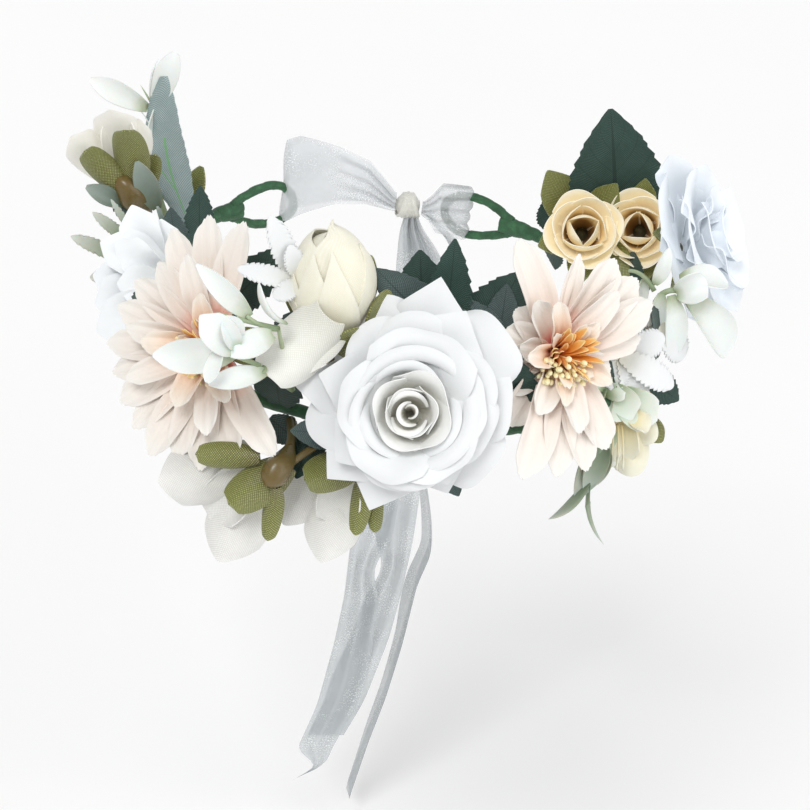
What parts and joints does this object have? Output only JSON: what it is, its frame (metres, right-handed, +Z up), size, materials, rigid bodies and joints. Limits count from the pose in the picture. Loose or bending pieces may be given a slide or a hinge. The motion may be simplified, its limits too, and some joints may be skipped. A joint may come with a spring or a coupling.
{
  "type": "flower crown",
  "caption": "Wire hair wreath with fabric roses, daisies, buds and leaves along its front and sides, open at the back and closed by an organza ribbon tie with two hanging tails.",
  "frame": {"origin": "centre of the wire ring, in the plane of its centre line, where the wearer's head is", "axes": "+Z up out of the top of the head, -Y to the front of the wearer, +X to the viewer's right when facing the front"},
  "size_m": [0.2401, 0.2248, 0.3696],
  "materials": {
    "steel_wire": "drawn",
    "floral_tape": "waxed crepe",
    "organza": "sheer satin",
    "white_petal": "matt woven",
    "blush_petal": "matt woven",
    "cream_petal": "satin woven",
    "yellow_petal": "satin woven",
    "stamen": "flocked",
    "olive_sepal": "satin woven",
    "moulded_stem": "satin moulded",
    "dark_leaf": "matt woven",
    "grey_leaf": "matt woven",
    "sage_plastic": "soft moulded"
  },
  "bodies": {
    "crown": {"frame_wire": "steel_wire", "frame_tape": "floral_tape", "eyelet_wires": "steel_wire", "eyelet_tapes": "floral_tape", "eyelet_bindings": "floral_tape", "ribbon_band_left": "organza", "ribbon_band_right": "organza", "ribbon_knot": "organza", "rose_outer_petals": "white_petal", "rose_middle_petals": "white_petal", "rose_inner_petals": "white_petal", "rose_heart": "white_petal", "rose_calyx": "olive_sepal", "left_daisy_outer_petals": "blush_petal", "left_daisy_inner_petals": "blush_petal", "left_daisy_stamens": "stamen", "left_daisy_stem": "olive_sepal", "right_daisy_outer_petals": "blush_petal", "right_daisy_inner_petals": "blush_petal", "right_daisy_stamens": "stamen", "right_daisy_stem": "olive_sepal", "cream_bud_petals": "cream_petal", "cream_bud_fold_petal": "cream_petal", "cream_bud_calyx": "olive_sepal", "inner_small_rose_petals": "yellow_petal", "inner_small_rose_calyx": "olive_sepal", "outer_small_rose_petals": "yellow_petal", "outer_small_rose_calyx": "olive_sepal", "ruffled_rose_outer_petals": "white_petal", "ruffled_rose_inner_petals": "white_petal", "ruffled_rose_calyx": "olive_sepal", "lily_petals": "white_petal", "lily_stem": "sage_plastic", "freesia_petals": "sage_plastic", "freesia_bud": "yellow_petal", "freesia_stem": "sage_plastic", "grey_leaf": "grey_leaf", "left_leaves": "dark_leaf", "top_front_leaves": "dark_leaf", "low_front_leaves": "dark_leaf", "right_leaves": "dark_leaf", "left_spray": "sage_plastic", "right_spray": "sage_plastic"},
    "left_magnolia": {"left_magnolia_petals": "cream_petal", "left_magnolia_sepals": "olive_sepal", "left_magnolia_stem": "moulded_stem"},
    "centre_magnolia": {"centre_magnolia_petals": "cream_petal", "centre_magnolia_sepals": "olive_sepal", "centre_magnolia_stem": "moulded_stem"},
    "top_magnolia": {"top_magnolia_petals": "cream_petal", "top_magnolia_sepals": "olive_sepal", "top_magnolia_stem": "moulded_stem"},
    "big_leaf": {"big_leaf": "dark_leaf"},
    "top_left_sprig": {"top_left_sprig": "sage_plastic"},
    "hanging_leaves": {"hanging_leaves": "sage_plastic"},
    "wide_tail_upper": {"wide_tail_upper": "organza"},
    "wide_tail_lower": {"wide_tail_lower": "organza"},
    "narrow_tail_upper": {"narrow_tail_upper": "organza"},
    "narrow_tail_lower": {"narrow_tail_lower": "organza"}
  },
  "joints": [
    {"name": "left_magnolia_bend", "type": "hinge", "parent": "crown", "child": "left_magnolia", "pos_m": [-0.04354, -0.08545, -0.0015], "axis": [-0.454, 0.891, 0], "range_deg": [-12, 6]},
    {"name": "centre_magnolia_bend", "type": "hinge", "parent": "crown", "child": "centre_magnolia", "pos_m": [-0.01994, -0.0938, -0.0015], "axis": [-0.5299, 0.848, 0], "range_deg": [-10, 4]},
    {"name": "top_magnolia_bend", "type": "hinge", "parent": "crown", "child": "top_magnolia", "pos_m": [-0.08469, 0.03595, 0.0039], "axis": [-0.1736, 0.9848, 0], "range_deg": [-22, 6]},
    {"name": "big_leaf_bend", "type": "hinge", "parent": "crown", "child": "big_leaf", "pos_m": [0.08047, 0.0446, 0.0038], "axis": [1, 0, 0], "range_deg": [-35, 0]},
    {"name": "top_left_sprig_bend", "type": "hinge", "parent": "crown", "child": "top_left_sprig", "pos_m": [-0.079, 0.0475, 0.005], "axis": [0, 1, 0], "range_deg": [-20, 0]},
    {"name": "hanging_leaves_bend", "type": "hinge", "parent": "crown", "child": "hanging_leaves", "pos_m": [0.0624, -0.075, -0.004], "axis": [-0.769, -0.6392, 0], "range_deg": [-6, 30]},
    {"name": "tails_swing", "type": "hinge", "parent": "crown", "child": "wide_tail_upper", "pos_m": [0.017, 0.093, -0.0064], "axis": [1, 0, 0], "range_deg": [-30, 45]},
    {"name": "wide_tail_fold", "type": "hinge", "parent": "wide_tail_upper", "child": "wide_tail_lower", "pos_m": [0.0225, 0.0906, -0.1584], "axis": [1, 0, 0], "range_deg": [-75, 0]},
    {"name": "narrow_tail_spread", "type": "hinge", "parent": "wide_tail_upper", "child": "narrow_tail_upper", "pos_m": [0.02, 0.0976, -0.0084], "axis": [1, 0, 0], "range_deg": [0, 25]},
    {"name": "narrow_tail_fold", "type": "hinge", "parent": "narrow_tail_upper", "child": "narrow_tail_lower", "pos_m": [0.044, 0.0976, -0.1584], "axis": [1, 0, 0], "range_deg": [0, 75]}
  ]
}
